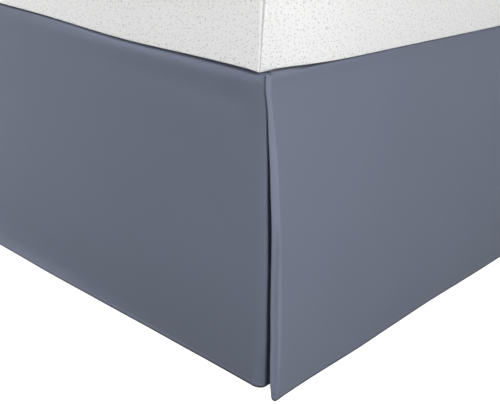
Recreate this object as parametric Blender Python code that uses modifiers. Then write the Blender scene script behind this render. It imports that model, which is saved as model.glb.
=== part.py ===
"""A tailored bed skirt with split corners, hanging between a mattress and a box spring on plain legs.

Metres, +Z up, the floor at Z = 0. The bed's length runs along Y, its head at +Y and its foot at -Y.
"""
import math

import bmesh
import bpy
from mathutils import Matrix, Vector

GAP = 0.0003                       # between pieces that touch

# Bed
LEG_HEIGHT = 0.156
LEG_TOP_RADIUS = 0.030
LEG_FOOT_RADIUS = 0.022
LEG_CHAMFER = 0.003
LEG_INSET = 0.100                  # from the box spring's faces to the axis of a corner leg
MIDDLE_LEG_PLACE = 0.42            # from the middle of the bed to the two legs on its centre line
BOX_WIDTH = 1.506
BOX_LENGTH = 2.006
BOX_HEIGHT = 0.229
BOX_TAPER = 0.014                  # how far each face draws in from its top to its foot
BOX_CORNER = 0.012
BOX_TOP_EDGE = 0.010
MATTRESS_WIDTH = 1.524             # queen size, 60 by 80 inches
MATTRESS_LENGTH = 2.032
MATTRESS_HEIGHT = 0.250
MATTRESS_CORNER = 0.005            # radius of the upright corners
MATTRESS_BOTTOM_EDGE = 0.008
MATTRESS_CORNER_EDGE = 0.002       # the bottom edge is tight at the corners, so they end in points
MATTRESS_TOP_EDGE = 0.032
MATTRESS_DRAWN_IN = 0.0175         # the head and foot faces draw in towards the corners
MATTRESS_DRAWN_REACH = 0.078
MATTRESS_BULGE = 0.004             # all four faces swell at half their height
MATTRESS_END_STEPS = (0.040, 0.065, 0.095, 0.150)    # where the head and foot faces have points, from a corner
MATTRESS_SIDE_STEPS = (0.040,)

# Skirt
CLOTH = 0.0015
HEM_THICKNESS = 0.0026             # along a hem the cloth is turned in and lies double
HEM_HEIGHT = 0.009
DROP = 0.381                       # a 15 inch drop, from the deck's top to the hem
EDGE_ROLL = 0.012                  # radius of the deck's edge where it rolls over the box spring
RIM = 0.014                        # the deck's rim reaches this far down, and the drops are sewn on under it
SIDE_PLANE = 0.757                 # outer face of the side drops at their top, from the middle of the bed
FOOT_PLANE = 1.0105                # outer face of the foot drop at its top
HEAD_END = 1.003                   # where the deck and the side drops end
SIDE_LEAN = 0.0175                 # a side drop's hem hangs this much inside its top
FOOT_FLARE = 0.024                 # the foot drop's hem stands this much outside its top
LEAN_POWER = 1.8                   # the drops lean most near their top and hang plumb at the hem

# Split corners. At each depth below the deck's top, back is how far behind the foot drop's hem the side drop's
# return lies, and strip is how far the foot drop folds round the corner.
SPLIT_COLUMNS = ("depth", "back", "strip")
SPLIT = (
    (0.014, 0.0290, 0.0056),
    (0.036, 0.0300, 0.0054),
    (0.075, 0.0310, 0.0058),
    (0.140, 0.0305, 0.0086),
    (0.265, 0.0265, 0.0112),
    (0.330, 0.0262, 0.0102),
    (0.360, 0.0270, 0.0085),
    (0.372, 0.0275, 0.0070),
    (0.381, 0.0280, 0.0068),
)
UNDERLAP_LENGTH = 0.045            # how far the side drop runs on behind the foot drop
TURN = 0.004                       # radius of the side drop's turn
TURN_HEM_ACROSS = 0.010            # and its half axes at the hem, where it opens into a softer curve
TURN_HEM_ALONG = 0.014
TURN_SPREAD = 0.060                # height over which it opens
CURL = 0.006                       # how much of the foot drop's width its fold takes up
STRIP_STAND_OFF = 0.003            # the folded strip's face lies this much outside the side drop
TIP_DIP = 0.0024                   # the foot drop's hem hangs this much lower at the very corner
TIP_REACH = 0.010
SIDE_CALM = 0.04                   # no folds this near to the split on a side drop
FOOT_CALM = 0.08                   # and on the foot drop
HEM_STEP = 0.001                   # length over which the cloth thickens into its hem

# Depths below the deck's top at which a drop has a row of points
HEM_TOP = DROP - HEM_HEIGHT
DROP_ROWS = (RIM + GAP, 0.036, 0.075, 0.130, 0.200, 0.280, 0.330, 0.360, HEM_TOP - HEM_STEP, HEM_TOP, DROP)
HEM_ROWS = (len(DROP_ROWS) - 2, len(DROP_ROWS) - 1)

TOP = LEG_HEIGHT + GAP + BOX_HEIGHT + GAP + CLOTH

# Soft folds of each drop. place: metres along the drop, from the corner that stands at -X and -Y, or for the
# right drop from the corner at +X and -Y. width: of the swell. out: how far it stands out at the hem, or draws
# in. grow: the power with which it grows down the drop.
FOLD_COLUMNS = ("place", "width", "out", "grow")
FOOT_FOLDS = (
    (0.17, 0.060, 0.0012, 1.0),
    (0.34, 0.050, -0.0010, 1.5),
    (0.52, 0.090, 0.0016, 1.5),
    (0.78, 0.070, -0.0010, 1.0),
    (1.02, 0.090, 0.0014, 2.0),
    (1.27, 0.060, -0.0010, 1.5),
)
LEFT_FOLDS = (
    (0.12, 0.050, -0.0009, 1.0),
    (0.44, 0.120, 0.0022, 2.0),
    (0.73, 0.090, -0.0012, 1.0),
    (1.07, 0.100, 0.0015, 1.5),
    (1.38, 0.080, -0.0010, 1.0),
    (1.72, 0.110, 0.0014, 1.5),
)
RIGHT_FOLDS = (
    (0.20, 0.070, -0.0010, 1.0),
    (0.47, 0.110, 0.0018, 2.0),
    (0.86, 0.080, -0.0010, 1.5),
    (1.18, 0.110, 0.0015, 1.0),
    (1.52, 0.070, -0.0010, 1.5),
    (1.78, 0.090, 0.0012, 1.5),
)

# How finely the pieces are divided
SIDE_RUN_STEPS = 22
TURN_STEPS = 5
FOOT_RUN_STEPS = 18
CURL_STEPS = 4
ROLL_STEPS = 3
DECK_STEPS = 8
CORNER_STEPS = 6
BOTTOM_EDGE_STEPS = 3
TOP_EDGE_STEPS = 4
BOX_STEPS = 3
LEG_SEGMENTS = 24
LEG_CHAMFER_STEPS = 2
SHARP_ANGLE = 35                   # edges sharper than this many degrees are shaded as edges

CLOTH_COLOUR = (0.180, 0.200, 0.260)
MATTRESS_COLOUR = (0.86, 0.86, 0.855)
BOX_COLOUR = (0.020, 0.021, 0.024)
LEG_COLOUR = (0.016, 0.012, 0.010)


def clear_scene():
    for item in list(bpy.data.objects):
        bpy.data.objects.remove(item, do_unlink=True)


def make_material(name, colour, roughness, metallic=0.0):
    material = bpy.data.materials.new(name)
    material.use_nodes = True
    shader = material.node_tree.nodes["Principled BSDF"]
    shader.inputs["Base Color"].default_value = (*colour, 1.0)
    shader.inputs["Roughness"].default_value = roughness
    shader.inputs["Metallic"].default_value = metallic
    return material


def add_piece(name, bm, bed, material):
    """An object made from a bmesh, shaded smooth, under the bed's empty."""
    mesh = bpy.data.meshes.new(name)
    bm.to_mesh(mesh)
    bm.free()
    mesh.materials.append(material)
    mesh.shade_smooth()
    mesh.set_sharp_from_angle(angle=math.radians(SHARP_ANGLE))
    piece = bpy.data.objects.new(name, mesh)
    bed.users_collection[0].objects.link(piece)
    piece.parent = bed
    return piece


def smooth_step(value, low, high):
    part = min(max((value - low) / (high - low), 0.0), 1.0)
    return part * part * (3 - 2 * part)


def mix(first, second, share):
    return first + (second - first) * share


def grid_through(points):
    """An open sheet through columns of points, facing the side from which they run left to right and down."""
    columns = len(points)
    rows = len(points[0])
    bm = bmesh.new()
    bmesh.ops.create_grid(bm, x_segments=columns - 1, y_segments=rows - 1, size=0.5)
    ordered = sorted(bm.verts, key=lambda vert: (round(vert.co.x, 5), -round(vert.co.y, 5)))
    for index, vert in enumerate(ordered):
        vert.co = points[index // rows][index % rows]
    bm.verts.sort(key=ordered.index)
    return bm


def add_cloth(name, points, bed, material, hem_rows=(), hem_columns=()):
    """A sheet of cloth thickened inwards from its outer points, and double along its hems."""
    rows = len(points[0])
    piece = add_piece(name, grid_through(points), bed, material)
    shell = piece.modifiers.new("cloth", "SOLIDIFY")
    shell.thickness = CLOTH
    shell.offset = -1.0
    shell.use_even_offset = True
    hem = [column * rows + row for column in range(len(points)) for row in range(rows)
           if row in hem_rows or column in hem_columns]
    if hem:
        piece.vertex_groups.new(name="hem").add(hem, 1.0, "REPLACE")
        shell.thickness = HEM_THICKNESS
        shell.vertex_group = "hem"
        shell.thickness_vertex_group = CLOTH / HEM_THICKNESS
    return piece


def lean(depth):
    """Share of a drop's lean at this depth: 0 at its top, 1 at the hem."""
    return 1 - (max(DROP - depth, 0.0) / (DROP - RIM)) ** LEAN_POWER


def side_plane(depth):
    return SIDE_PLANE - SIDE_LEAN * lean(depth)


def foot_plane(depth):
    return FOOT_PLANE + FOOT_FLARE * lean(depth)


def split_value(column, depth):
    """A value from the table of the split, eased from row to row."""
    rows = [dict(zip(SPLIT_COLUMNS, row)) for row in SPLIT]
    for upper, lower in zip(rows, rows[1:]):
        if depth <= lower["depth"]:
            return mix(upper[column], lower[column], smooth_step(depth, upper["depth"], lower["depth"]))
    return rows[-1][column]


def fold_depth(folds, along, depth):
    """How far the cloth stands out at a place, from a drop's table of soft folds."""
    total = 0.0
    for row in folds:
        fold = dict(zip(FOLD_COLUMNS, row))
        swell = math.exp(-((along - fold["place"]) / fold["width"]) ** 2)
        total += fold["out"] * swell * (depth / DROP) ** fold["grow"]
    return total


def add_side_drop(name, side, folds, bed, material):
    """side is -1 for the left drop and 1 for the right one."""
    foot_hem = -FOOT_PLANE - FOOT_FLARE
    run_start = HEAD_END - HEM_HEIGHT - HEM_STEP
    run_end = foot_hem + SPLIT[-1][1] + TURN_HEM_ALONG + GAP

    def point(kind, value, depth):
        softness = smooth_step(depth, DROP - TURN_SPREAD, DROP)
        across = mix(TURN, TURN_HEM_ACROSS, softness)
        along = mix(TURN, TURN_HEM_ALONG, softness)
        face = side_plane(depth)
        underlap = foot_hem + split_value("back", depth)
        if kind == "run":
            calm = smooth_step(value, run_end, run_end + SIDE_CALM)
            return face + fold_depth(folds, value - foot_hem, depth) * calm, value
        if kind == "turn":
            return face - across * (1 - math.cos(value)), underlap + along * (1 - math.sin(value))
        return face - across - value, underlap

    places = [("run", HEAD_END), ("run", HEAD_END - HEM_HEIGHT)]
    places += [("run", mix(run_start, run_end, step / SIDE_RUN_STEPS)) for step in range(SIDE_RUN_STEPS + 1)]
    places += [("turn", math.radians(90) * step / TURN_STEPS) for step in range(TURN_STEPS + 1)]
    places += [("underlap", UNDERLAP_LENGTH * share) for share in (0.5, 1.0)]
    points = []
    for kind, value in places:
        outline = [(*point(kind, value, depth), depth) for depth in DROP_ROWS]
        points.append([(side * x, y, TOP - depth) for x, y, depth in outline])
    head_hem = (0, 1)
    if side > 0:
        points.reverse()
        head_hem = (len(points) - 1, len(points) - 2)
    return add_cloth(name, points, bed, material, HEM_ROWS, head_hem)


def foot_points():
    """The foot drop's outer points: the strip folded round one corner, the run, and the other strip."""
    def point(kind, value, depth):
        plane = foot_plane(depth)
        span = side_plane(depth) + STRIP_STAND_OFF - CURL
        if kind == "run":
            x = value * span
            calm = smooth_step(span - abs(x), 0.0, FOOT_CALM)
            return x, -plane - fold_depth(FOOT_FOLDS, x + span, depth) * calm
        side = math.copysign(1, value)
        angle = math.radians(90) * abs(value)
        back = split_value("strip", depth) * (1 - math.cos(angle))
        return side * (span + CURL * math.sin(angle)), -plane + back

    def height(kind, value, depth):
        if depth < DROP:
            return TOP - depth
        from_corner = CURL * math.sin(math.radians(90) * (1 - abs(value))) if kind == "curl" else CURL
        return TOP - depth - TIP_DIP * math.exp(-(from_corner / TIP_REACH) ** 2)

    places = [("curl", -1 + step / CURL_STEPS) for step in range(CURL_STEPS)]
    places += [("run", -1 + 2 * step / FOOT_RUN_STEPS) for step in range(FOOT_RUN_STEPS + 1)]
    places += [("curl", (step + 1) / CURL_STEPS) for step in range(CURL_STEPS)]
    return [[(*point(kind, value, depth), height(kind, value, depth)) for depth in DROP_ROWS]
            for kind, value in places]


def add_foot_drop(bed, material):
    points = foot_points()
    end = len(points) - 1
    return add_cloth("drop_foot", points, bed, material, HEM_ROWS, (0, 1, 2, end - 2, end - 1, end))


def add_deck(bed, material):
    """The platform panel: flat over the box spring, and rolled down along both sides and the foot."""
    roll_length = EDGE_ROLL * math.radians(90)
    roll = [roll_length * (step + 1) / ROLL_STEPS for step in range(ROLL_STEPS)] + [roll_length + RIM - EDGE_ROLL]
    flat_x = SIDE_PLANE - EDGE_ROLL
    flat_y = FOOT_PLANE - EDGE_ROLL
    across = [-flat_x - way for way in reversed(roll)]
    across += [mix(-flat_x, flat_x, step / DECK_STEPS) for step in range(DECK_STEPS + 1)]
    across += [flat_x + way for way in roll]
    down = [mix(HEAD_END, -flat_y, step / DECK_STEPS) for step in range(DECK_STEPS + 1)]
    down += [-flat_y - way for way in roll]

    def point(u, v):
        over_x = max(abs(u) - flat_x, 0.0)
        over_y = max(-v - flat_y, 0.0)
        way = max(over_x, over_y)
        if way == 0:
            return u, v, TOP
        turn = math.radians(45) * (over_y / over_x if over_x > over_y else 2 - over_x / over_y)
        angle = min(way, roll_length) / EDGE_ROLL
        out = EDGE_ROLL * math.sin(angle)
        below = EDGE_ROLL * (1 - math.cos(angle)) + max(way - roll_length, 0.0)
        x = min(max(u, -flat_x), flat_x) + math.copysign(out * math.cos(turn), u)
        y = max(v, -flat_y) - out * math.sin(turn)
        return x, y, TOP - below

    return add_cloth("skirt_deck", [[point(u, v) for v in down] for u in across], bed, material)


def add_box_spring(bed, material):
    """A plain box that tapers to its foot, with rounded upright and top edges."""
    floor = LEG_HEIGHT + GAP
    bm = bmesh.new()
    size = Matrix.Diagonal((BOX_WIDTH, BOX_LENGTH, BOX_HEIGHT, 1))
    bmesh.ops.create_cube(bm, size=1.0, matrix=Matrix.Translation((0, 0, floor + BOX_HEIGHT / 2)) @ size)
    upright = [edge for edge in bm.edges if abs(edge.verts[0].co.z - edge.verts[1].co.z) > BOX_HEIGHT / 2]
    bmesh.ops.bevel(bm, geom=upright, offset=BOX_CORNER, segments=BOX_STEPS, profile=0.5, affect="EDGES")
    rim = [edge for edge in bm.edges if all(vert.co.z > floor + BOX_HEIGHT / 2 for vert in edge.verts)]
    bmesh.ops.bevel(bm, geom=rim, offset=BOX_TOP_EDGE, segments=BOX_STEPS, profile=0.5, affect="EDGES")
    for vert in bm.verts:
        drawn = BOX_TAPER * (floor + BOX_HEIGHT - vert.co.z) / BOX_HEIGHT
        vert.co.x *= 1 - drawn / (BOX_WIDTH / 2)
        vert.co.y *= 1 - drawn / (BOX_LENGTH / 2)
    return add_piece("box_spring", bm, bed, material)


def mattress_ring(level, up, angle, edge, corner_edge, corner):
    """A ring of points round the mattress, on the curve of radius edge that ends at level. up is 1 for the bottom
    edge and -1 for the top one, and angle goes from 0 on the upright faces to 90 degrees on the flat one."""
    half_x = MATTRESS_WIDTH / 2
    half_y = MATTRESS_LENGTH / 2
    ring = []

    def add_point(x, y, away_x, away_y, radius):
        inset = radius * (1 - math.cos(angle))
        z = level + up * radius * (1 - math.sin(angle))
        swell = MATTRESS_BULGE * (1 - ((z - TOP - GAP) / MATTRESS_HEIGHT * 2 - 1) ** 2)
        drawn = MATTRESS_DRAWN_IN * math.exp(-((half_x - abs(x)) / MATTRESS_DRAWN_REACH) ** 2)
        x += away_x * (swell - inset)
        y += away_y * (swell - inset) - math.copysign(drawn, y)
        ring.append((x, y, z))

    for quarter, (side, end) in enumerate(((1, 1), (-1, 1), (-1, -1), (1, -1))):
        for step in range(CORNER_STEPS + 1):
            turn = math.radians(90) * (quarter + step / CORNER_STEPS)
            away = (math.cos(turn), math.sin(turn))
            add_point(side * (half_x - corner) + corner * away[0], end * (half_y - corner) + corner * away[1],
                      *away, corner_edge)
        if side == end:
            places = [half_x - place for place in MATTRESS_END_STEPS]
            for x in places + [-place for place in reversed(places)]:
                add_point(side * x, end * half_y, 0, end, edge)
        else:
            places = [half_y - place for place in MATTRESS_SIDE_STEPS]
            for y in places + [-place for place in reversed(places)]:
                add_point(side * half_x, end * y, side, 0, edge)
    return ring


def add_mattress(bed, material):
    floor = TOP + GAP
    ceiling = floor + MATTRESS_HEIGHT
    rings = []
    for step in range(BOTTOM_EDGE_STEPS + 1):
        angle = math.radians(90) * (1 - step / BOTTOM_EDGE_STEPS)
        rings.append(mattress_ring(floor, 1, angle, MATTRESS_BOTTOM_EDGE, MATTRESS_CORNER_EDGE, MATTRESS_CORNER))
    rings.append(mattress_ring(floor + MATTRESS_HEIGHT / 2, 1, 0, 0, 0, MATTRESS_CORNER))
    for step in range(TOP_EDGE_STEPS + 1):
        angle = math.radians(90) * step / TOP_EDGE_STEPS
        corner = MATTRESS_CORNER + MATTRESS_TOP_EDGE * (1 - math.cos(angle))
        rings.append(mattress_ring(ceiling, -1, angle, MATTRESS_TOP_EDGE, MATTRESS_TOP_EDGE, corner))
    bm = bmesh.new()
    rows = [[bm.verts.new(point) for point in ring] for ring in rings]
    for below, above in zip(rows, rows[1:]):
        for index in range(len(below)):
            bm.faces.new((below[index - 1], below[index], above[index], above[index - 1]))
    bm.faces.new(reversed(rows[0]))
    bm.faces.new(rows[-1])
    return add_piece("mattress", bm, bed, material)


def add_leg(name, x, y, bed, material):
    """A round leg that tapers to its foot, with a chamfer round the foot."""
    bm = bmesh.new()
    bmesh.ops.create_cone(
        bm, cap_ends=True, segments=LEG_SEGMENTS, radius1=LEG_FOOT_RADIUS, radius2=LEG_TOP_RADIUS, depth=LEG_HEIGHT,
        matrix=Matrix.Translation((0, 0, LEG_HEIGHT / 2)))
    foot = [edge for edge in bm.edges if all(vert.co.z < GAP for vert in edge.verts)]
    bmesh.ops.bevel(bm, geom=foot, offset=LEG_CHAMFER, segments=LEG_CHAMFER_STEPS, profile=0.5, affect="EDGES")
    leg = add_piece(name, bm, bed, material)
    leg.location = (x, y, 0)
    return leg


def main():
    clear_scene()
    collection = bpy.data.collections.new("bed_skirt_on_bed")
    bpy.context.scene.collection.children.link(collection)
    bed = bpy.data.objects.new("bed", None)
    collection.objects.link(bed)

    cloth = make_material("skirt_cloth", CLOTH_COLOUR, 0.9)
    add_deck(bed, cloth)
    add_foot_drop(bed, cloth)
    add_side_drop("drop_left", -1, LEFT_FOLDS, bed, cloth)
    add_side_drop("drop_right", 1, RIGHT_FOLDS, bed, cloth)
    mattress = add_mattress(bed, make_material("mattress_knit", MATTRESS_COLOUR, 0.85))
    add_box_spring(bed, make_material("box_spring_cover", BOX_COLOUR, 0.9))
    leg_finish = make_material("leg_wood", LEG_COLOUR, 0.45)
    leg_x = BOX_WIDTH / 2 - LEG_INSET
    leg_y = BOX_LENGTH / 2 - LEG_INSET
    for end_name, end in (("foot", -1), ("head", 1)):
        add_leg(f"leg_{end_name}_left", -leg_x, end * leg_y, bed, leg_finish)
        add_leg(f"leg_{end_name}_right", leg_x, end * leg_y, bed, leg_finish)
        add_leg(f"leg_{end_name}_middle", 0, end * MIDDLE_LEG_PLACE, bed, leg_finish)

    # The origin is under the middle of everything: the foot drop's hem reaches further out than the mattress.
    foot_reach = max(-y for column in foot_points() for x, y, z in column)
    head_reach = max(vert.co.y for vert in mattress.data.vertices)
    bed.location = Vector((0, (foot_reach - head_reach) / 2, 0))


main()
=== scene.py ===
import math

import bmesh
import bpy
import numpy as np
from mathutils import Matrix, Vector, noise


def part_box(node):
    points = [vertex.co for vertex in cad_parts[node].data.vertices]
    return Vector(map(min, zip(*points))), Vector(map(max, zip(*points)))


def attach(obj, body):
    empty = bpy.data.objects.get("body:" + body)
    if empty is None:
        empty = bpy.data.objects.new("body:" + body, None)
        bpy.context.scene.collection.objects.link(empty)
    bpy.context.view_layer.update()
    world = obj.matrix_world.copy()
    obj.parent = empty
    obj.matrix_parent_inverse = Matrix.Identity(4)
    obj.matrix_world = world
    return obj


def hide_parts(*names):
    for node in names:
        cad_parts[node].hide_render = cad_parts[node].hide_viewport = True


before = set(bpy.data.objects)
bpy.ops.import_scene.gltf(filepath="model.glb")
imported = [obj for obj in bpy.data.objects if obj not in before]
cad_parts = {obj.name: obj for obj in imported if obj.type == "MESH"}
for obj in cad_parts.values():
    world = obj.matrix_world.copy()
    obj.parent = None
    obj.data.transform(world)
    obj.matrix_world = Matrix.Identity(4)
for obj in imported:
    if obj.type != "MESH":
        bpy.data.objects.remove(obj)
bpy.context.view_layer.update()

# Places read from the frame. The skirt is made about the middle of the box spring.
boxLow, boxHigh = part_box("box_spring")
bedY = (boxLow[1] + boxHigh[1]) / 2
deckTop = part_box("skirt_deck")[1][2]
print("Frame read, bed's middle at y", round(bedY, 4), "and deck at z", round(deckTop, 4))


def mixValue(first, second, share):
    return first + (second - first) * share


def smoothStep(value, low, high):
    part = min(max((value - low) / (high - low), 0.0), 1.0)
    return part * part * (3 - 2 * part)


def bell(value, middle, width):
    return math.exp(-((value - middle) / width) ** 2)


def stepsThrough(stops):
    # Values from the first stop to the last. Each stop after the first also gives the spacing of the
    # stretch before it.
    values = [stops[0]]
    for end, spacing in stops[1:]:
        start = values[-1]
        count = max(1, round(abs(end - start) / spacing))
        values += [mixValue(start, end, (index + 1) / count) for index in range(count)]
    return values


def addPiece(name, mesh, material):
    mesh.materials.append(material)
    mesh.shade_smooth()
    piece = bpy.data.objects.new(name, mesh)
    bpy.context.scene.collection.objects.link(piece)
    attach(piece, "root")
    return piece


def unitRows(vectors):
    return vectors / np.maximum(np.linalg.norm(vectors, axis=-1, keepdims=True), 1e-9)


def closedSheet(name, points, thickness, paintedLight, material, rimSteps=4):
    # A closed sheet of cloth. points runs in columns from left to right as seen from outside, each from top
    # to bottom. thickness gives the cloth's thickness at each point, and the table after it the painted light
    # or painted shade there, with 0 as plain cloth. The rim is rounded, as a turned edge is.
    outer = np.array(points, dtype=float)
    columns, rows = outer.shape[:2]
    outward = unitRows(np.cross(np.gradient(outer, axis=1), np.gradient(outer, axis=0)))
    inner = outer - outward * np.array(thickness)[:, :, None]
    places = [outer.reshape(-1, 3), inner.reshape(-1, 3)]
    faces = []
    count = columns * rows
    for column in range(columns - 1):
        for row in range(rows - 1):
            a = column * rows + row
            b = a + rows
            faces.append((a, a + 1, b + 1, b))
            faces.append((count + a, count + b, count + b + 1, count + a + 1))
    loop = [(0, row) for row in range(rows)]
    loop += [(column, rows - 1) for column in range(1, columns)]
    loop += [(columns - 1, row) for row in range(rows - 2, -1, -1)]
    loop += [(column, 0) for column in range(columns - 2, 0, -1)]
    rings = [[column * rows + row for column, row in loop]]
    rim = []
    for column, row in loop:
        away = np.zeros(3)
        if column in (0, columns - 1):
            away += unitRows(outer[column, row] - outer[column + (1 if column == 0 else -1), row])
        if row in (0, rows - 1):
            away += unitRows(outer[column, row] - outer[column, row + (1 if row == 0 else -1)])
        rim.append((outer[column, row], inner[column, row], unitRows(away)))
    used = 2 * count
    for step in range(1, rimSteps):
        angle = math.pi * step / rimSteps
        ring = []
        for front, back, away in rim:
            half = (front - back) / 2
            middle = (front + back) / 2
            places.append([middle + half * math.cos(angle) + away * np.linalg.norm(half) * math.sin(angle)])
            ring.append(used)
            used += 1
        rings.append(ring)
    rings.append([count + column * rows + row for column, row in loop])
    for near, far in zip(rings, rings[1:]):
        for index in range(len(loop)):
            after = (index + 1) % len(loop)
            faces.append((near[index], far[index], far[after], near[after]))
    mesh = bpy.data.meshes.new(name)
    mesh.from_pydata(np.concatenate([np.array(part).reshape(-1, 3) for part in places]), [], faces)
    across = np.concatenate([[0], np.cumsum(np.linalg.norm(np.diff(outer, axis=0), axis=2).mean(axis=1))])
    down = np.concatenate([[0], np.cumsum(np.linalg.norm(np.diff(outer, axis=1), axis=2).mean(axis=0))])
    flat = [(across[column], -down[row]) for column in range(columns) for row in range(rows)] * 2
    flat += [(across[column], -down[row]) for column, row in loop] * (rimSteps - 1)
    flatMap = mesh.uv_layers.new(name="flat")
    for corner in mesh.loops:
        flatMap.data[corner.index].uv = flat[corner.vertex_index]
    # Painted light and shade for each point; the rim rings take the values of the edge they round.
    paintedLightness = list(np.array(paintedLight).ravel()) * 2
    paintedLightness += [paintedLight[column][row] for column, row in loop] * (rimSteps - 1)
    mesh.attributes.new("paintedLight", "FLOAT", "POINT").data.foreach_set("value", paintedLightness)
    mesh.update()
    return addPiece(name, mesh, material)


# Shared effects

def newGroup(name, inputs, outputs):
    group = bpy.data.node_groups.new(name, "ShaderNodeTree")
    for socketName, kind, value in inputs:
        socket = group.interface.new_socket(name=socketName, in_out="INPUT", socket_type=kind)
        if value is not None:
            socket.default_value = value
    for socketName, kind in outputs:
        group.interface.new_socket(name=socketName, in_out="OUTPUT", socket_type=kind)
    nodes = group.nodes
    return group, nodes.new("NodeGroupInput"), nodes.new("NodeGroupOutput")


def mathNode(tree, operation, first, second=None, third=None, clamp=False):
    node = tree.nodes.new("ShaderNodeMath")
    node.operation = operation
    node.use_clamp = clamp
    for index, value in enumerate((first, second, third)):
        if value is None:
            continue
        if isinstance(value, bpy.types.NodeSocket):
            tree.links.new(value, node.inputs[index])
        else:
            node.inputs[index].default_value = value
    return node.outputs[0]


def mixColours(tree, share, first, second):
    node = tree.nodes.new("ShaderNodeMix")
    node.data_type = "RGBA"
    for socket, value in ((node.inputs["Factor"], share), (node.inputs[6], first), (node.inputs[7], second)):
        if isinstance(value, bpy.types.NodeSocket):
            tree.links.new(value, socket)
        else:
            socket.default_value = value
    return node.outputs[2]


def noiseMask(tree, vector, scale, detail=2.0, roughness=0.5):
    node = tree.nodes.new("ShaderNodeTexNoise")
    node.inputs["Scale"].default_value = scale
    node.inputs["Detail"].default_value = detail
    node.inputs["Roughness"].default_value = roughness
    tree.links.new(vector, node.inputs["Vector"])
    return node.outputs["Fac"]


def makeThreads():
    # Crossing threads of a plain weave, on flat cloth measured in metres.
    group, given, out = newGroup(
        "threads",
        [("Flat", "NodeSocketVector", None), ("Pitch", "NodeSocketFloat", 0.0006)],
        [("Height", "NodeSocketFloat"), ("Slub", "NodeSocketFloat")])
    split = group.nodes.new("ShaderNodeSeparateXYZ")
    group.links.new(given.outputs["Flat"], split.inputs[0])
    waves = []
    for axis in (0, 1):
        turns = mathNode(group, "DIVIDE", split.outputs[axis], given.outputs["Pitch"])
        waves.append(mathNode(group, "SINE", mathNode(group, "MULTIPLY", turns, 2 * math.pi)))
    group.links.new(mathNode(group, "MULTIPLY", waves[0], waves[1]), out.inputs["Height"])
    stretched = group.nodes.new("ShaderNodeVectorMath")
    stretched.operation = "MULTIPLY"
    stretched.inputs[1].default_value = (1.0, 24.0, 1.0)
    group.links.new(given.outputs["Flat"], stretched.inputs[0])
    group.links.new(noiseMask(group, stretched.outputs[0], 60.0, 3.0, 0.6), out.inputs["Slub"])
    return group


def makeMottle():
    # Slow, soft unevenness of a dyed or bleached cloth, between 0 and 1.
    group, given, out = newGroup(
        "mottle",
        [("Place", "NodeSocketVector", None), ("Size", "NodeSocketFloat", 0.2)],
        [("Mask", "NodeSocketFloat")])
    grown = group.nodes.new("ShaderNodeVectorMath")
    grown.operation = "SCALE"
    group.links.new(given.outputs["Place"], grown.inputs[0])
    group.links.new(mathNode(group, "DIVIDE", 1.0, given.outputs["Size"]), grown.inputs["Scale"])
    group.links.new(noiseMask(group, grown.outputs[0], 1.0, 3.0, 0.55), out.inputs["Mask"])
    return group


threads = makeThreads()
mottle = makeMottle()


def newMaterial(name):
    material = bpy.data.materials.new(name)
    material.use_nodes = True
    return material, material.node_tree, material.node_tree.nodes["Principled BSDF"]


def placeGroup(tree, group, **values):
    node = tree.nodes.new("ShaderNodeGroup")
    node.node_tree = group
    for name, value in values.items():
        socket = node.inputs[name]
        if isinstance(value, bpy.types.NodeSocket):
            tree.links.new(value, socket)
        else:
            socket.default_value = value
    return node


def bumpFrom(tree, height, distance, strength=1.0, under=None):
    node = tree.nodes.new("ShaderNodeBump")
    node.inputs["Distance"].default_value = distance
    node.inputs["Strength"].default_value = strength
    tree.links.new(height, node.inputs["Height"])
    if under is not None:
        tree.links.new(under, node.inputs["Normal"])
    return node.outputs["Normal"]


def flatCoordinates(tree, layer):
    node = tree.nodes.new("ShaderNodeUVMap")
    node.uv_map = layer
    return node.outputs["UV"]


def objectCoordinates(tree):
    return tree.nodes.new("ShaderNodeTexCoord").outputs["Object"]


skirtCloth = {
    "colour": (0.162, 0.182, 0.245, 1.0),
    "worn": (0.177, 0.197, 0.260, 1.0),
    "cloudSize": 0.16,
    "roughness": 0.86,
    "specular": 0.25,
    "sheen": 0.12,
    "sheenRoughness": 0.4,
    "threadPitch": 0.0006,
    "threadHeight": 0.00004,
    "slubShare": 0.25,
    "slubHeight": 0.0002,
}


def makeSkirtCloth():
    material, tree, shader = newMaterial("brushedMicrofibre")
    flat = flatCoordinates(tree, "flat")
    weave = placeGroup(tree, threads, Flat=flat, Pitch=skirtCloth["threadPitch"])
    cloudy = placeGroup(tree, mottle, Place=objectCoordinates(tree), Size=skirtCloth["cloudSize"])
    fine = mathNode(tree, "MULTIPLY", weave.outputs["Slub"], skirtCloth["slubShare"])
    share = mathNode(tree, "ADD", cloudy.outputs["Mask"], fine, clamp=True)
    # The attribute read here holds painted light and painted shade, which scale the cloth's colour.
    paintedShading = tree.nodes.new("ShaderNodeAttribute")
    paintedShading.attribute_name = "paintedLight"
    paintedColour = tree.nodes.new("ShaderNodeVectorMath")
    paintedColour.operation = "SCALE"
    tree.links.new(mixColours(tree, share, skirtCloth["colour"], skirtCloth["worn"]), paintedColour.inputs[0])
    tree.links.new(mathNode(tree, "ADD", paintedShading.outputs["Fac"], 1.0), paintedColour.inputs["Scale"])
    tree.links.new(paintedColour.outputs[0], shader.inputs["Base Color"])
    shader.inputs["Roughness"].default_value = skirtCloth["roughness"]
    shader.inputs["Sheen Weight"].default_value = skirtCloth["sheen"]
    shader.inputs["Sheen Roughness"].default_value = skirtCloth["sheenRoughness"]
    shader.inputs["Specular IOR Level"].default_value = skirtCloth["specular"]
    normal = bumpFrom(tree, weave.outputs["Height"], skirtCloth["threadHeight"], 0.6)
    normal = bumpFrom(tree, weave.outputs["Slub"], skirtCloth["slubHeight"], 0.4, normal)
    tree.links.new(normal, shader.inputs["Normal"])
    return material


clothMaterial = makeSkirtCloth()

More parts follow.
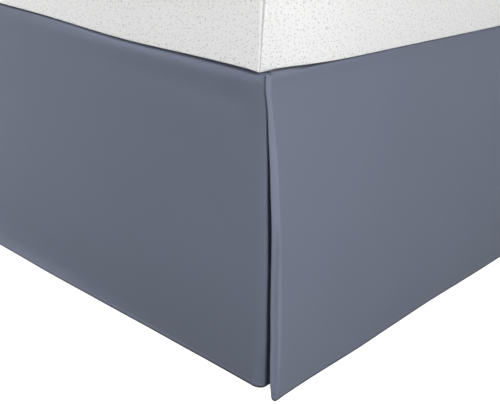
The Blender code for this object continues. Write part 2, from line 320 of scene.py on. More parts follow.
# The skirt's shape, in metres. Depths are measured down from the deck's top.
skirt = {
    "drop": 0.381,
    "leanTop": 0.014,
    "seamDepth": 0.0011,
    "sideRoll": 0.012,
    "farRoll": 0.004,
    "rollFades": (0.24, 0.38),
    "footRoll": 0.005,
    "stripRoll": 0.0028,
    "sidePlane": 0.757,
    "footPlane": 1.0105,
    "headEnd": 1.003,
    "sideLean": 0.0175,
    "footFlare": 0.024,
    "leanPower": 1.8,
    "cloth": 0.0015,
    "hem": 0.0026,
    "hemHeight": 0.009,
    "hemStep": (0.0006, 0.0002),
    "endHemStep": 0.0004,
    "stitchHeight": 0.0082,
    "stitchWidth": 0.0007,
    "stitchDip": 0.0004,
    "hemRoll": 0.0036,
    "hemShade": 0.9,
    "hemShadeFades": (0.0038, 0.0012),
    "footDip": 0.0034,
    "sideDip": 0.0028,
    "dipFades": (0.30, 0.38),
    "dipEase": 0.6,
    "dipEasesAlong": (0.10, 0.90),
    "gap": 0.0003,
}
hemTop = skirt["drop"] - skirt["hemHeight"]
hemEdge = skirt["drop"] - skirt["hem"] / 2
hemCorner = Vector((-(skirt["sidePlane"] - skirt["sideLean"]),
                    bedY - skirt["footPlane"] - skirt["footFlare"],
                    deckTop - skirt["drop"]))


def leanShare(depth):
    left = max(skirt["drop"] - depth, 0.0) / (skirt["drop"] - skirt["leanTop"])
    return 1 - min(left, 1.0) ** skirt["leanPower"]


def sideFace(depth):
    return skirt["sidePlane"] - skirt["sideLean"] * leanShare(depth)


def footFace(depth):
    return skirt["footPlane"] + skirt["footFlare"] * leanShare(depth)


def rollInset(depth, radius):
    # How far the cloth lies inside its face where it rolls over the deck's edge.
    if depth >= radius:
        return 0.0
    return radius - math.sqrt(radius ** 2 - (radius - depth) ** 2)


def sideRoll(y):
    # The roll is full near the foot and tight further along the bed.
    far = smoothStep(y + skirt["footPlane"], *skirt["rollFades"])
    return mixValue(skirt["sideRoll"], skirt["farRoll"], far)


def dropDepths():
    # Rows lie close together where the cloth rolls over the deck's edge and along the hem.
    top = skirt["seamDepth"] + skirt["gap"]
    body = [(0.004, 0.0005), (0.013, 0.0011), (0.075, 0.003), (0.30, 0.0075), (0.352, 0.005)]
    hem = [(hemTop - 0.0012, 0.003), (hemTop + 0.0018, 0.0005), (hemEdge - 0.0032, 0.0014), (hemEdge, 0.0006)]
    return stepsThrough([top] + body + hem)


dropLines = dropDepths()


def clothThickness(depth, fromEnd=1.0):
    # The cloth is double along the hem, and along a drop's own hemmed end.
    above, below = skirt["hemStep"]
    step = skirt["endHemStep"]
    double = max(smoothStep(depth, hemTop - above, hemTop + below),
                 1 - smoothStep(fromEnd, skirt["hemHeight"] - step, skirt["hemHeight"] + step))
    return mixValue(skirt["cloth"], skirt["hem"], double)


def hemShape(depth):
    # How far the cloth lies inside its face at the row of stitches and where the hem rolls under.
    under = max(depth - (skirt["drop"] - skirt["hemRoll"]), 0.0)
    stitches = skirt["stitchDip"] * bell(skirt["drop"] - depth, skirt["stitchHeight"], skirt["stitchWidth"])
    return stitches + skirt["hemRoll"] - math.sqrt(skirt["hemRoll"] ** 2 - under ** 2)


def hemPaintedShade(depth):
    # Painted shade along the very rim of the turned edge.
    start, end = (hemEdge - way for way in skirt["hemShadeFades"])
    return -skirt["hemShade"] * smoothStep(depth, start, end)


def standsOut(folds, dents, along, depth):
    total = 0.0
    for fold in folds:
        grown = (depth / skirt["drop"]) ** fold["grow"]
        total += fold["out"] * bell(along, fold["place"], fold["width"]) * grown
    for dent in dents:
        near = bell(along, dent["place"], dent["width"])
        total += dent["out"] * near * bell(depth, dent["depth"], dent["height"])
    return total


# Painted light and painted shade from the patches at this place on the drop.
def patchPaintedLight(patches, along, depth):
    return sum(patch["paintedLightness"] * bell(along, patch["place"], patch["width"])
               * smoothStep(depth, patch["from"], patch["to"]) for patch in patches)


rumples = {
    "size": 0.09,
    "amount": 0.0006,
    "fadesIn": (0.01, 0.05),
    "cornerSize": 0.007,
    "cornerAmount": 0.0015,
    "cornerReach": (0.034, 0.052),
    "cornerDepth": (0.012, 0.030),
    "cornerSeed": 7,
    "footSeed": 11.0,
}


def rumple(along, depth, seed, size, amount):
    return amount * noise.noise(Vector((along / size, depth / size, seed)))


def slowRumple(along, depth, seed):
    # Slow unevenness of a whole drop, with none on its roll.
    slow = rumple(along, depth, seed, rumples["size"], rumples["amount"])
    return slow * smoothStep(depth, *rumples["fadesIn"])


def cornerRumple(along, depth, seed):
    # Small crumples on the side drop's roll, close to the split.
    nearSplit = 1 - smoothStep(along, *rumples["cornerReach"])
    nearTop = 1 - smoothStep(depth, *rumples["cornerDepth"])
    small = rumple(along, depth, seed + rumples["cornerSeed"], rumples["cornerSize"], rumples["cornerAmount"])
    return small * (nearSplit * nearTop)


# Split corners. At each depth, back is how far behind the foot drop's hem the side drop's return lies, and
# strip is how far the foot drop folds round the corner.
splitCorner = [
    {"depth": 0.014, "back": 0.0285, "strip": 0.0044},
    {"depth": 0.036, "back": 0.0278, "strip": 0.0038},
    {"depth": 0.075, "back": 0.0288, "strip": 0.0054},
    {"depth": 0.140, "back": 0.0298, "strip": 0.0072},
    {"depth": 0.265, "back": 0.0262, "strip": 0.0112},
    {"depth": 0.330, "back": 0.0246, "strip": 0.0102},
    {"depth": 0.360, "back": 0.0250, "strip": 0.0088},
    {"depth": 0.372, "back": 0.0255, "strip": 0.0072},
    {"depth": 0.381, "back": 0.0260, "strip": 0.0056},
]
corner = {
    "underlap": 0.045,
    "turn": 0.004,
    "turnHemAcross": 0.010,
    "turnHemAlong": 0.014,
    "turnSpread": 0.060,
    "turnHighlight": 0.05,
    "turnHighlightPlace": 0.15,
    "turnHighlightWidth": 0.55,
    "tuckDepth": 0.009,
    "tuckShare": 0.9,
    "tuckTurn": 60,
    "sideCalm": 0.04,
    "footCalm": 0.08,
    "standOff": 0.003,
    "curlSteps": 14,
    "curlTop": 0.0032,
    "curl": 0.006,
    "curlGrows": (0.02, 0.10),
    "bodySquare": 0.66,
    "hemSquare": 2.4,
    "squareFades": (0.355, 0.378),
    "seamFromEdge": 0.0055,
    "seamWidth": 0.0009,
    "seamDip": 0.0005,
    "seamStarts": (0.14, 0.22),
    "seamPaintedShade": -0.15,
    "seamPaintedShadeWidth": 0.0016,
    "ridgeHighlight": 0.10,
    "ridgeFromSeam": 0.0040,
    "ridgeWidth": 0.0018,
    "foldHighlight": 0.24,
    "foldHighlightLow": 0.13,
    "foldLowFades": (0.15, 0.20),
    "foldEnds": (0.34, 0.375),
    "tipDip": 0.0013,
    "tipFlare": 0.0008,
    "tipReach": 0.014,
    "tipStarts": (0.35, 0.381),
}


def splitValue(name, depth):
    for upper, lower in zip(splitCorner, splitCorner[1:]):
        if depth <= lower["depth"]:
            return mixValue(upper[name], lower[name], smoothStep(depth, upper["depth"], lower["depth"]))
    return splitCorner[-1][name]


leftFolds = [
    {"place": 0.12, "width": 0.050, "out": -0.0009, "grow": 1.0},
    {"place": 0.44, "width": 0.120, "out": 0.0022, "grow": 2.0},
    {"place": 0.73, "width": 0.090, "out": -0.0012, "grow": 1.0},
    {"place": 1.07, "width": 0.100, "out": 0.0015, "grow": 1.5},
    {"place": 1.38, "width": 0.080, "out": -0.0010, "grow": 1.0},
    {"place": 1.72, "width": 0.110, "out": 0.0014, "grow": 1.5},
]
leftDents = [
    {"place": 0.05, "width": 0.24, "depth": 0.036, "height": 0.018, "out": -0.0026},
    {"place": 0.66, "width": 0.20, "depth": 0.335, "height": 0.024, "out": -0.0030},
]
rightFolds = [
    {"place": 0.20, "width": 0.070, "out": -0.0010, "grow": 1.0},
    {"place": 0.47, "width": 0.110, "out": 0.0018, "grow": 2.0},
    {"place": 0.86, "width": 0.080, "out": -0.0010, "grow": 1.5},
    {"place": 1.18, "width": 0.110, "out": 0.0015, "grow": 1.0},
    {"place": 1.52, "width": 0.070, "out": -0.0010, "grow": 1.5},
    {"place": 1.78, "width": 0.090, "out": 0.0012, "grow": 1.5},
]
rightDents = [
    {"place": 0.10, "width": 0.20, "depth": 0.036, "height": 0.018, "out": -0.0016},
    {"place": 1.30, "width": 0.22, "depth": 0.335, "height": 0.024, "out": -0.0020},
]

# Painted shade on the brushed face towards the foot, and painted light along the hem and on the roll. Each
# patch fades in from one depth to the other.
leftPaintedLight = [
    {"place": 0.00, "width": 0.45, "from": -0.02, "to": -0.01, "paintedLightness": -0.07},
    {"place": 0.12, "width": 0.35, "from": 0.20, "to": 0.36, "paintedLightness": -0.08},
    {"place": 0.22, "width": 0.12, "from": 0.3715, "to": 0.3728, "paintedLightness": 0.16},
    {"place": 0.47, "width": 0.17, "from": 0.350, "to": 0.376, "paintedLightness": 0.30},
    {"place": 0.24, "width": 0.17, "from": 0.020, "to": 0.008, "paintedLightness": 0.28},
]
rightPaintedLight = [
    {"place": 1.30, "width": 0.30, "from": 0.3715, "to": 0.3728, "paintedLightness": 0.08},
]


def sideDrop(name, side, folds, dents, patches, seed):
    # side is -1 for the left drop and 1 for the right one.
    footHem = -skirt["footPlane"] - skirt["footFlare"]
    runEnd = footHem + splitCorner[-1]["back"] + corner["turnHemAlong"] + skirt["gap"]
    headEnd = skirt["headEnd"]
    hemInner = headEnd - skirt["hemHeight"]
    run = stepsThrough([headEnd, (hemInner, 0.0015), (hemInner - 0.002, 0.0005), (-0.30, 0.012),
                        (-0.80, 0.008), (runEnd + 0.05, 0.005), (runEnd, 0.0020)])
    columns = [("run", place) for place in run]
    columns += [("turn", math.radians(angle)) for angle in stepsThrough([0, (90, 9)])]
    columns += [("underlap", place) for place in stepsThrough([0.002, (corner["underlap"], 0.004)])]
    points = []
    thickness = []
    paintedLight = []
    for kind, value in columns:
        line = []
        widths = []
        tones = []
        for depth in dropLines:
            drawnIn = rollInset(depth, sideRoll(value if kind == "run" else footHem))
            softness = smoothStep(depth, skirt["drop"] - corner["turnSpread"], skirt["drop"])
            across = mixValue(corner["turn"], corner["turnHemAcross"], softness)
            along = mixValue(corner["turn"], corner["turnHemAlong"], softness)
            face = sideFace(depth)
            underlap = footHem + splitValue("back", depth)
            groove = hemShape(depth)
            fromFoot = (value if kind == "run" else runEnd) - footHem
            eased = 1 - skirt["dipEase"] * smoothStep(fromFoot, *skirt["dipEasesAlong"])
            z = deckTop - depth - skirt["sideDip"] * eased * smoothStep(depth, *skirt["dipFades"])
            if kind == "run":
                calm = smoothStep(value, runEnd, runEnd + corner["sideCalm"])
                out = standsOut(folds, dents, fromFoot, depth) * calm
                out += slowRumple(fromFoot, depth, seed)
                out += cornerRumple(fromFoot, depth, seed)
                x = face + out - drawnIn - groove
                y = value
            elif kind == "turn":
                tucked = smoothStep(value, 0.0, math.radians(corner["tuckTurn"]))
                x = face - across * (1 - math.cos(value)) - drawnIn * (1 - tucked) - groove * math.cos(value)
                y = underlap + along * (1 - math.sin(value)) + groove * math.sin(value)
                z -= tucked * max(corner["tuckDepth"] - depth, 0.0) * corner["tuckShare"]
            else:
                x = face - across - value
                y = underlap + groove
                z -= max(corner["tuckDepth"] - depth, 0.0) * corner["tuckShare"]
            line.append((side * x, bedY + y, z))
            widths.append(clothThickness(depth, headEnd - value if kind == "run" else 1.0))
            tone = hemPaintedShade(depth) + patchPaintedLight(patches, fromFoot, depth)
            if kind == "turn":
                # Painted highlight where the side drop turns round the corner.
                light = bell(value, corner["turnHighlightPlace"], corner["turnHighlightWidth"])
                tone += corner["turnHighlight"] * light
            tones.append(tone)
        points.append(line)
        thickness.append(widths)
        paintedLight.append(tones)
    if side > 0:  # the right drop's head end lies at its right
        for table in (points, thickness, paintedLight):
            table.reverse()
    piece = closedSheet(name, points, thickness, paintedLight, clothMaterial)
    return piece


leftDrop = sideDrop("sideDropLeft", -1, leftFolds, leftDents, leftPaintedLight, 1.0)
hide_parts("drop_left")
rightDrop = sideDrop("sideDropRight", 1, rightFolds, rightDents, rightPaintedLight, 4.0)
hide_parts("drop_right")
print("Side drops made")

footFolds = [
    {"place": 0.17, "width": 0.060, "out": 0.0012, "grow": 1.0},
    {"place": 0.34, "width": 0.050, "out": -0.0010, "grow": 1.5},
    {"place": 0.52, "width": 0.090, "out": 0.0016, "grow": 1.5},
    {"place": 0.78, "width": 0.070, "out": -0.0010, "grow": 1.0},
    {"place": 1.02, "width": 0.090, "out": 0.0014, "grow": 2.0},
    {"place": 1.27, "width": 0.060, "out": -0.0010, "grow": 1.5},
]
footDents = [
    {"place": 1.10, "width": 0.20, "depth": 0.335, "height": 0.024, "out": -0.0018},
]


def foldPaintedLight(depth, fromEdge, turned):
    # Painted light on the corner strip, with painted shade in the seam's groove and a painted highlight on
    # the ridge beside it, in its lower part.
    low = smoothStep(depth, *corner["foldLowFades"])
    ridgePlace = corner["seamFromEdge"] + corner["ridgeFromSeam"]
    tone = mixValue(corner["foldHighlight"], corner["foldHighlightLow"], low)
    tone += low * corner["seamPaintedShade"] * bell(fromEdge, corner["seamFromEdge"], corner["seamPaintedShadeWidth"])
    tone += low * corner["ridgeHighlight"] * bell(fromEdge, ridgePlace, corner["ridgeWidth"])
    return tone * smoothStep(turned, 0.0, 0.3) * (1 - smoothStep(depth, *corner["foldEnds"]))


def footDrop():
    halfRun = stepsThrough([0.0, (0.80, 0.02), (0.94, 0.014), (1.0, 0.004)])
    run = [-share for share in reversed(halfRun[1:])] + halfRun
    curlStep = 1 / corner["curlSteps"]
    curl = stepsThrough([curlStep, (1.0, curlStep)])
    columns = [("curl", -share) for share in reversed(curl)]
    columns += [("run", share) for share in run]
    columns += [("curl", share) for share in curl]
    points = []
    thickness = []
    paintedLight = []
    for kind, value in columns:
        line = []
        widths = []
        tones = []
        for depth in dropLines:
            drawnIn = rollInset(depth, skirt["footRoll"])
            plane = footFace(depth)
            curled = mixValue(corner["curlTop"], corner["curl"], smoothStep(depth, *corner["curlGrows"]))
            span = sideFace(depth) + corner["standOff"] - curled
            groove = hemShape(depth)
            if kind == "run":
                x = value * span
                calm = smoothStep(span - abs(x), 0.0, corner["footCalm"])
                out = standsOut(footFolds, footDents, x + span, depth) * calm
                out += slowRumple(x, depth, rumples["footSeed"]) * calm
                y = -plane - out + drawnIn + groove
            else:
                side = math.copysign(1, value)
                angle = math.radians(90) * abs(value)
                hemward = smoothStep(depth, *corner["squareFades"])
                square = mixValue(corner["bodySquare"], corner["hemSquare"], hemward)
                back = splitValue("strip", depth) * (1 - max(math.cos(angle), 0.0) ** (1 / square))
                fromEdge = splitValue("strip", depth) - back
                seam = corner["seamDip"] * bell(fromEdge, corner["seamFromEdge"], corner["seamWidth"])
                stripInset = rollInset(depth, skirt["stripRoll"])
                inward = mixValue(drawnIn, stripInset, min(abs(value) * 2, 1.0)) + groove
                inward += seam * smoothStep(depth, *corner["seamStarts"])
                x = side * (span + curled * math.sin(angle) ** (1 / square) - inward * math.sin(angle))
                y = -plane + back + inward * math.cos(angle)
            fromCorner = max(span + curled - abs(x), 0.0)
            tip = math.exp(-fromCorner / corner["tipReach"]) * smoothStep(depth, *corner["tipStarts"])
            y -= corner["tipFlare"] * tip
            z = deckTop - depth - corner["tipDip"] * tip
            z -= skirt["footDip"] * smoothStep(depth, *skirt["dipFades"])
            line.append((x, bedY + y, z))
            widths.append(clothThickness(depth, 0.0 if kind == "curl" else span * (1 - abs(value))))
            tone = hemPaintedShade(depth)
            if kind == "curl":
                tone += foldPaintedLight(depth, fromEdge, abs(value))
            tones.append(tone)
        points.append(line)
        thickness.append(widths)
        paintedLight.append(tones)
    piece = closedSheet("footDrop", points, thickness, paintedLight, clothMaterial)
    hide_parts("drop_foot")


footDrop()
print("Foot drop made")


# Mattress. underRings gives the way in from the bottom edge and how much of the edge's lift each ring has.
mattress = {
    "width": 1.524,
    "length": 2.032,
    "height": 0.250,
    "corner": 0.0024,
    "bottomEdge": 0.0018,
    "cornerEdge": 0.0012,
    "cornerReach": 0.018,
    "lift": 0.0009,
    "liftPower": 0.9,
    "sideSag": 0.0044,
    "sideSagStarts": (0.02, 0.26),
    "sideSagEnds": (0.17, 0.40),
    "sideRise": 1.11,
    "endSag": 0.0032,
    "endSagStarts": (0.12, 0.55),
    "underRings": ((0.016, 0.0), (0.005, 1.0), (0.0017, 1.0)),
    "underStart": 0.0004,
    "underEdge": 0.002,
    "topEdge": 0.032,
    "bulge": 0.004,
    "endDrawn": 0.0175,
    "endReach": 0.078,
    "seamDepth": 0.0012,
    "seamWidth": 0.0006,
    "threadFades": (0.0002, 0.0008),
    "colour": (0.91, 0.91, 0.905, 1.0),
    "dotColour": (0.50, 0.50, 0.50, 1.0),
    "threadColour": (0.52, 0.52, 0.53, 1.0),
    "dotPitch": 0.0042,
    "dotEdge": (0.10, 0.26),
    "dotDepth": 0.0005,
    "dotPatches": 190.0,
}


def endSetBack(x):
    # How far the mattress's two ends are drawn in towards the corners.
    return mattress["endDrawn"] * math.exp(-((mattress["width"] / 2 - abs(x)) / mattress["endReach"]) ** 2)


deck = {
    "rollSteps": 5,
    "shade": -0.65,
    "shadeFades": (0.0010, 0.0050),
    "shadeStarts": (0.9, 0.95),
}


def deckPaintedShadow(x, y):
    # Painted shadow, darkest right beside the mattress's foot, where the two cloths meet.
    fromFace = bedY - y - (mattress["length"] / 2 - endSetBack(x))
    beside = 1 - smoothStep(fromFace, *deck["shadeFades"])
    return deck["shade"] * beside * smoothStep(bedY - y, *deck["shadeStarts"])


def skirtDeck():
    # Columns and rows are (share of the way across or down, share of the roll over the edge).
    roll = [(step + 1) / deck["rollSteps"] for step in range(deck["rollSteps"])]
    halfAcross = stepsThrough([0.0, (0.84, 0.06), (1.0, 0.010)])
    acrossLine = [(-1.0, share) for share in reversed(roll)]
    acrossLine += [(-share, 0.0) for share in reversed(halfAcross[1:])]
    acrossLine += [(share, 0.0) for share in halfAcross]
    acrossLine += [(1.0, share) for share in roll]
    downLine = [(share, 0.0) for share in stepsThrough([0.0, (0.99, 0.018), (1.0, 0.0006)])]
    downLine += [(1.0, share) for share in roll]

    def point(column, row):
        (shareX, rollX), (shareY, rollY) = column, row
        y = mixValue(skirt["headEnd"], skirt["footRoll"] - skirt["footPlane"], shareY)
        sideRadius = sideRoll(y)
        x = shareX * (skirt["sidePlane"] - sideRadius)
        if rollX == 0 and rollY == 0:
            return x, bedY + y, deckTop
        turn = rollY / rollX / 2 if rollX > rollY else 1 - rollX / rollY / 2
        radius = mixValue(sideRadius, skirt["footRoll"], turn)
        angle = max(rollX, rollY) * math.acos(1 - skirt["seamDepth"] / radius)
        out = radius * math.sin(angle)
        squareX = math.cos(math.radians(90) * turn) ** 0.5
        squareY = math.sin(math.radians(90) * turn) ** 0.5
        z = deckTop - radius * (1 - math.cos(angle))
        return x + math.copysign(out * squareX, shareX), bedY + y - out * squareY, z

    points = [[point(u, v) for v in downLine] for u in acrossLine]
    thickness = [[skirt["cloth"]] * len(downLine) for _ in acrossLine]
    paintedLight = [[deckPaintedShadow(x, y) for x, y, z in column] for column in points]
    piece = closedSheet("deckPanel", points, thickness, paintedLight, clothMaterial)
    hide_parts("skirt_deck")


skirtDeck()
print("Deck made")


def makeMattressKnit():
    material, tree, shader = newMaterial("mattressKnit")
    flat = flatCoordinates(tree, "flat")
    cells = tree.nodes.new("ShaderNodeTexVoronoi")
    cells.voronoi_dimensions = "2D"
    cells.inputs["Scale"].default_value = 1 / mattress["dotPitch"]
    cells.inputs["Randomness"].default_value = 0.9
    tree.links.new(flat, cells.inputs["Vector"])
    ramp = tree.nodes.new("ShaderNodeMapRange")
    ramp.inputs["From Min"].default_value = mattress["dotEdge"][0]
    ramp.inputs["From Max"].default_value = mattress["dotEdge"][1]
    ramp.inputs["To Min"].default_value = 1.0
    ramp.inputs["To Max"].default_value = 0.0
    tree.links.new(cells.outputs["Distance"], ramp.inputs["Value"])
    patches = noiseMask(tree, flat, mattress["dotPatches"], 3.0)
    strength = mathNode(tree, "MULTIPLY_ADD", patches, 3.0, -1.05, clamp=True)
    dots = mathNode(tree, "MULTIPLY", ramp.outputs[0], strength)
    seam = tree.nodes.new("ShaderNodeAttribute")
    seam.attribute_name = "seam"
    dotted = mixColours(tree, dots, mattress["colour"], mattress["dotColour"])
    tree.links.new(mixColours(tree, seam.outputs["Fac"], dotted, mattress["threadColour"]),
                   shader.inputs["Base Color"])
    shader.inputs["Roughness"].default_value = 0.9
    shader.inputs["Sheen Weight"].default_value = 0.1
    shader.inputs["Specular IOR Level"].default_value = 0.2
    height = mathNode(tree, "MULTIPLY", ramp.outputs[0], -1.0)
    tree.links.new(bumpFrom(tree, height, mattress["dotDepth"], 0.6), shader.inputs["Normal"])
    return material


def mattressPerimeter():
    # Points round the mattress: (x, y, side, end, turn, way from the nearest corner's seam). side and end are
    # the way the point faces. turn is its direction on a rounded corner, and None on the straight stretches.
    halfX = mattress["width"] / 2
    halfY = mattress["length"] / 2
    fine = [0.0, 0.0004, 0.0008, 0.0013, 0.0018]
    points = []
    for quarter, (side, end) in enumerate(((1, 1), (-1, 1), (-1, -1), (1, -1))):
        for along in [-way for way in reversed(fine[1:])] + fine:
            turn = math.radians(90 * quarter + 45) + along / mattress["corner"]
            if abs(along) / mattress["corner"] > math.radians(45):
                continue
            points.append((side * halfX, end * halfY, side, end, turn, abs(along)))
        length = 2 * (halfX if side == end else halfY)
        straight = length - 2 * mattress["corner"]
        half = stepsThrough([0.0, (0.020, 0.002), (0.06, 0.004), (0.20, 0.010),
                             (length / 2 - mattress["corner"], 0.04)])
        for way in half + [straight - way for way in reversed(half[:-1])]:
            fromCorner = min(way, straight - way) + mattress["corner"] * math.radians(45)
            if side == end:
                x = side * (halfX - mattress["corner"] - way)
                points.append((x, end * halfY, 0, end, None, fromCorner))
            else:
                y = end * (halfY - mattress["corner"] - way)
                points.append((side * halfX, y, side, 0, None, fromCorner))
    return points


def cornerShare(fromCorner):
    return min(fromCorner / mattress["cornerReach"], 1.0) ** mattress["liftPower"]


def bottomLift(isEnd, fromCorner):
    # The bottom edge springs up beside each corner and hangs a little lower further along. On the long sides
    # it rises again towards the middle.
    lift = mattress["lift"] * cornerShare(fromCorner)
    if isEnd:
        return lift - mattress["endSag"] * smoothStep(fromCorner, *mattress["endSagStarts"])
    hangs = smoothStep(fromCorner, *mattress["sideSagStarts"])
    hangs -= mattress["sideRise"] * smoothStep(fromCorner, *mattress["sideSagEnds"])
    return lift - mattress["sideSag"] * hangs


def mattressRing(perimeter, floor, level, up, angle, edge, cornerEdge, corner):
    # A ring round the mattress on the curve of radius edge that ends at level. up is 1 for the bottom edge
    # and -1 for the top one, and angle goes from 0 on the upright faces to 90 degrees on the flat one.
    halfX = mattress["width"] / 2
    ring = []
    for x, y, side, end, turn, fromCorner in perimeter:
        radius = mixValue(cornerEdge, edge, cornerShare(fromCorner))
        inset = radius * (1 - math.cos(angle))
        z = level + up * radius * (1 - math.sin(angle))
        if up > 0:
            z += bottomLift(end != 0 and side == 0, fromCorner)
        swell = mattress["bulge"] * (1 - ((z - floor) / mattress["height"] * 2 - 1) ** 2)
        drawn = endSetBack(x)
        if turn is None:
            awayX, awayY = side, end
            shift = corner - mattress["corner"]
            x = math.copysign(min(abs(x), halfX - shift) if side == 0 else abs(x), x)
        else:
            awayX, awayY = math.cos(turn), math.sin(turn)
            x += corner * (awayX - side)
            y += corner * (awayY - end)
            groove = mattress["seamDepth"] * bell(fromCorner, 0, mattress["seamWidth"])
            x -= awayX * groove
            y -= awayY * groove
        x += awayX * (swell - inset)
        y += awayY * (swell - inset) - math.copysign(drawn, y)
        ring.append((x, bedY + y, z))
    return ring


def underside(edgeRing, floor):
    # Rings under the mattress, from the flat middle out towards the edge.
    innerRings = []
    for inset, lifted in mattress["underRings"]:
        ring = []
        for x, y, z in edgeRing:
            nearX = mattress["width"] / 2 - abs(x)
            nearY = mattress["length"] / 2 - abs(y - bedY)
            share = min(max(nearX, nearY) / mattress["cornerReach"], 1.0)
            way = mattress["underStart"] + inset * share
            onSide = nearX < nearY + mattress["endDrawn"]
            toX = way if onSide else 0.0
            toY = 0.0 if onSide else way
            height = z if inset < mattress["underEdge"] else floor + max(z - floor, 0.0) * lifted
            ring.append((x - math.copysign(toX, x), y - math.copysign(toY, y - bedY), height))
        innerRings.append(ring)
    return innerRings


def makeMattress():
    floor = deckTop + skirt["gap"]
    ceiling = floor + mattress["height"]
    perimeter = mattressPerimeter()
    corner = mattress["corner"]
    bottomSteps = 8
    topSteps = 10
    rings = []
    for step in range(bottomSteps + 1):
        angle = math.radians(90) * (1 - step / bottomSteps)
        rings.append(mattressRing(perimeter, floor, floor, 1, angle, mattress["bottomEdge"],
                                  mattress["cornerEdge"], corner))
    rings[:0] = underside(rings[0], floor)
    for level in stepsThrough([floor + 0.012, (floor + 0.028, 0.016), (ceiling - 0.045, 0.014)]):
        rings.append(mattressRing(perimeter, floor, level, 1, 0, 0, 0, corner))
    for step in range(topSteps + 1):
        angle = math.radians(90) * step / topSteps
        rings.append(mattressRing(perimeter, floor, ceiling, -1, angle, mattress["topEdge"],
                                  mattress["topEdge"], corner + mattress["topEdge"] * (1 - math.cos(angle))))
    bm = bmesh.new()
    flatMap = bm.loops.layers.uv.new("flat")
    rows = [[bm.verts.new(point) for point in ring] for ring in rings]
    girth = np.array(rings[9])  # the flat map is measured along one ring and up one column of points
    column = [Vector(ring[20]) for ring in rings]
    around = np.concatenate([[0], np.cumsum(np.linalg.norm(np.diff(girth, axis=0), axis=1))])
    upwards = np.concatenate([[0], np.cumsum([(high - low).length for low, high in zip(column, column[1:])])])
    for index in range(len(rings) - 1):
        for place in range(len(perimeter)):
            ahead = (place + 1) % len(perimeter)
            face = bm.faces.new((rows[index][place], rows[index][ahead], rows[index + 1][ahead],
                                 rows[index + 1][place]))
            end = around[ahead] if ahead else around[-1] + 0.002
            for loop, u, v in zip(face.loops, (around[place], end, end, around[place]), (0, 0, 1, 1)):
                loop[flatMap].uv = (u, upwards[index + v])
    for cap in (rows[0][::-1], rows[-1]):
        for loop in bm.faces.new(cap).loops:
            loop[flatMap].uv = loop.vert.co.xy
    mesh = bpy.data.meshes.new("mattressBlock")
    bm.to_mesh(mesh)
    bm.free()
    thread = [1 - smoothStep(spot[-1], *mattress["threadFades"]) for spot in perimeter] * len(rings)
    mesh.attributes.new("seam", "FLOAT", "POINT").data.foreach_set("value", thread)
    piece = addPiece("mattressBlock", mesh, makeMattressKnit())
    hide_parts("mattress")


makeMattress()
print("Mattress made")

# Box spring and legs

# A near-black cover, whose darkness also stands in as painted shade for the deep shadow seen through the
# corner split.
boxSpring = {
    "colour": (0.020, 0.021, 0.024, 1.0),
    "paler": (0.030, 0.031, 0.034, 1.0),
    "cloudSize": 0.05,
    "fibreScale": 900.0,
}
legs = {
    "dark": (0.010, 0.007, 0.006, 1.0),
    "light": (0.030, 0.021, 0.016, 1.0),
    "grain": (60.0, 60.0, 4.0),
    "roughness": 0.42,
}


def makeBoxCover():
    material, tree, shader = newMaterial("boxSpringCover")
    place = objectCoordinates(tree)
    cloudy = placeGroup(tree, mottle, Place=place, Size=boxSpring["cloudSize"])
    colour = mixColours(tree, cloudy.outputs["Mask"], boxSpring["colour"], boxSpring["paler"])
    tree.links.new(colour, shader.inputs["Base Color"])
    shader.inputs["Roughness"].default_value = 0.9
    fibres = noiseMask(tree, place, boxSpring["fibreScale"], 3.0, 0.7)
    tree.links.new(bumpFrom(tree, fibres, 0.0004, 0.5), shader.inputs["Normal"])
    return material


def makeLegWood():
    material, tree, shader = newMaterial("legWood")
    stretched = tree.nodes.new("ShaderNodeMapping")
    stretched.inputs["Scale"].default_value = legs["grain"]
    tree.links.new(objectCoordinates(tree), stretched.inputs["Vector"])
    grain = noiseMask(tree, stretched.outputs[0], 1.0, 5.0, 0.6)
    tree.links.new(mixColours(tree, grain, legs["dark"], legs["light"]), shader.inputs["Base Color"])
    shader.inputs["Roughness"].default_value = legs["roughness"]
    tree.links.new(bumpFrom(tree, grain, 0.0003, 0.4), shader.inputs["Normal"])
    return material


boxCover = makeBoxCover()
legWood = makeLegWood()
for nodeName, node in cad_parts.items():
    if nodeName.startswith("leg_"):
        node.data.materials.clear()
        node.data.materials.append(legWood)
    if nodeName == "box_spring":
        node.data.materials.clear()
        node.data.materials.append(boxCover)
print("Box spring and legs finished")

# Floor, light and camera

studio = {
    "floorColour": (0.45, 0.45, 0.45, 1.0),
    "floorGlow": 1.0,
    "floorSize": 60.0,
    "skyToCamera": 1.0,
    "skyLight": 0.10,
}


def makeFloor():
    bm = bmesh.new()
    bmesh.ops.create_grid(bm, x_segments=1, y_segments=1, size=studio["floorSize"] / 2)
    mesh = bpy.data.meshes.new("studioFloor")
    bm.to_mesh(mesh)
    bm.free()
    material, tree, shader = newMaterial("paleFloor")
    shader.inputs["Base Color"].default_value = studio["floorColour"]
    shader.inputs["Roughness"].default_value = 0.9
    shader.inputs["Emission Color"].default_value = (1.0, 1.0, 1.0, 1.0)
    path = tree.nodes.new("ShaderNodeLightPath")
    tree.links.new(mathNode(tree, "MULTIPLY", path.outputs["Is Camera Ray"], studio["floorGlow"]),
                   shader.inputs["Emission Strength"])
    mesh.materials.append(material)
    floor = bpy.data.objects.new("studioFloor", mesh)
    bpy.context.scene.collection.objects.link(floor)


def makeSky():
    world = bpy.data.worlds.new("whiteRoom")
    bpy.context.scene.world = world
    world.use_nodes = True
    tree = world.node_tree
    background = tree.nodes["Background"]
    background.inputs["Color"].default_value = (1.0, 1.0, 1.0, 1.0)
    path = tree.nodes.new("ShaderNodeLightPath")
    strength = mathNode(tree, "MULTIPLY_ADD", path.outputs["Is Camera Ray"],
                        studio["skyToCamera"] - studio["skyLight"], studio["skyLight"])
    tree.links.new(strength, background.inputs["Strength"])


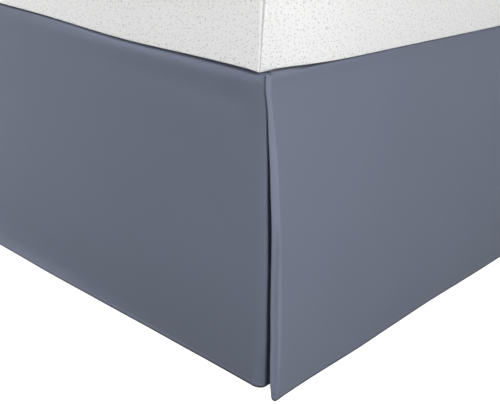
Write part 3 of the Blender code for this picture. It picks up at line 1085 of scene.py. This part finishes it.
softLights = [
    {"name": "frontLight", "place": (-1.66, -2.40, 1.15), "target": (-0.70, -1.00, 0.25),
     "size": (0.40, 0.40), "power": 28.5},
    {"name": "leftLight", "place": (-1.55, 0.30, 1.00), "target": (-0.74, 0.30, 0.30),
     "size": (0.60, 0.40), "power": 14.5},
    {"name": "footLight", "place": (0.60, -1.90, 1.15), "target": (0.40, -1.02, 0.50),
     "size": (0.80, 0.40), "power": 5.6},
    {"name": "topLight", "place": (-0.9, -0.9, 3.6), "target": (-0.2, -0.2, 0.4),
     "size": (2.4, 2.4), "power": 16},
    {"name": "rightLight", "place": (3.4, -0.6, 1.8), "target": (0.75, 0.0, 0.3),
     "size": (2.0, 1.6), "power": 48},
    {"name": "headLight", "place": (0.6, 3.8, 1.8), "target": (0.0, 1.0, 0.3),
     "size": (2.0, 1.6), "power": 48},
]


def addSoftLight(name, place, target, size, power):
    data = bpy.data.lights.new(name, "AREA")
    data.shape = "RECTANGLE"
    data.size, data.size_y = size
    data.energy = power
    light = bpy.data.objects.new(name, data)
    light.location = place
    light.rotation_euler = (Vector(target) - Vector(place)).to_track_quat("-Z", "Y").to_euler()
    light.visible_camera = False
    bpy.context.scene.collection.objects.link(light)


camera = {
    "fromHemCorner": Vector((-0.6654, -0.5091, 0.5871)),
    "turn": 49.55,
    "down": 22.27,
    "roll": -3.27,
    "lens": 61.85,
}


def makeCamera():
    # turn is measured from +Y towards +X, and down from the level.
    turn, down, roll = (math.radians(camera[name]) for name in ("turn", "down", "roll"))
    ahead = Vector((math.sin(turn) * math.cos(down), math.cos(turn) * math.cos(down), -math.sin(down)))
    level = Vector((math.cos(turn), -math.sin(turn), 0))
    below = ahead.cross(level)
    right = level * math.cos(roll) + below * math.sin(roll)
    under = below * math.cos(roll) - level * math.sin(roll)
    data = bpy.data.cameras.new("camera")
    data.lens = camera["lens"]
    data.sensor_width = 36.0
    data.clip_start = 0.02
    cameraObject = bpy.data.objects.new("camera", data)
    cameraObject.matrix_world = Matrix.Translation(hemCorner + camera["fromHemCorner"]) @ Matrix(
        (right, -under, -ahead)).transposed().to_4x4()
    bpy.context.scene.collection.objects.link(cameraObject)
    bpy.context.scene.camera = cameraObject


makeFloor()
makeSky()
for settings in softLights:
    addSoftLight(**settings)
makeCamera()
bpy.context.scene.view_settings.view_transform = "Standard"
print("Floor, lights and camera placed")
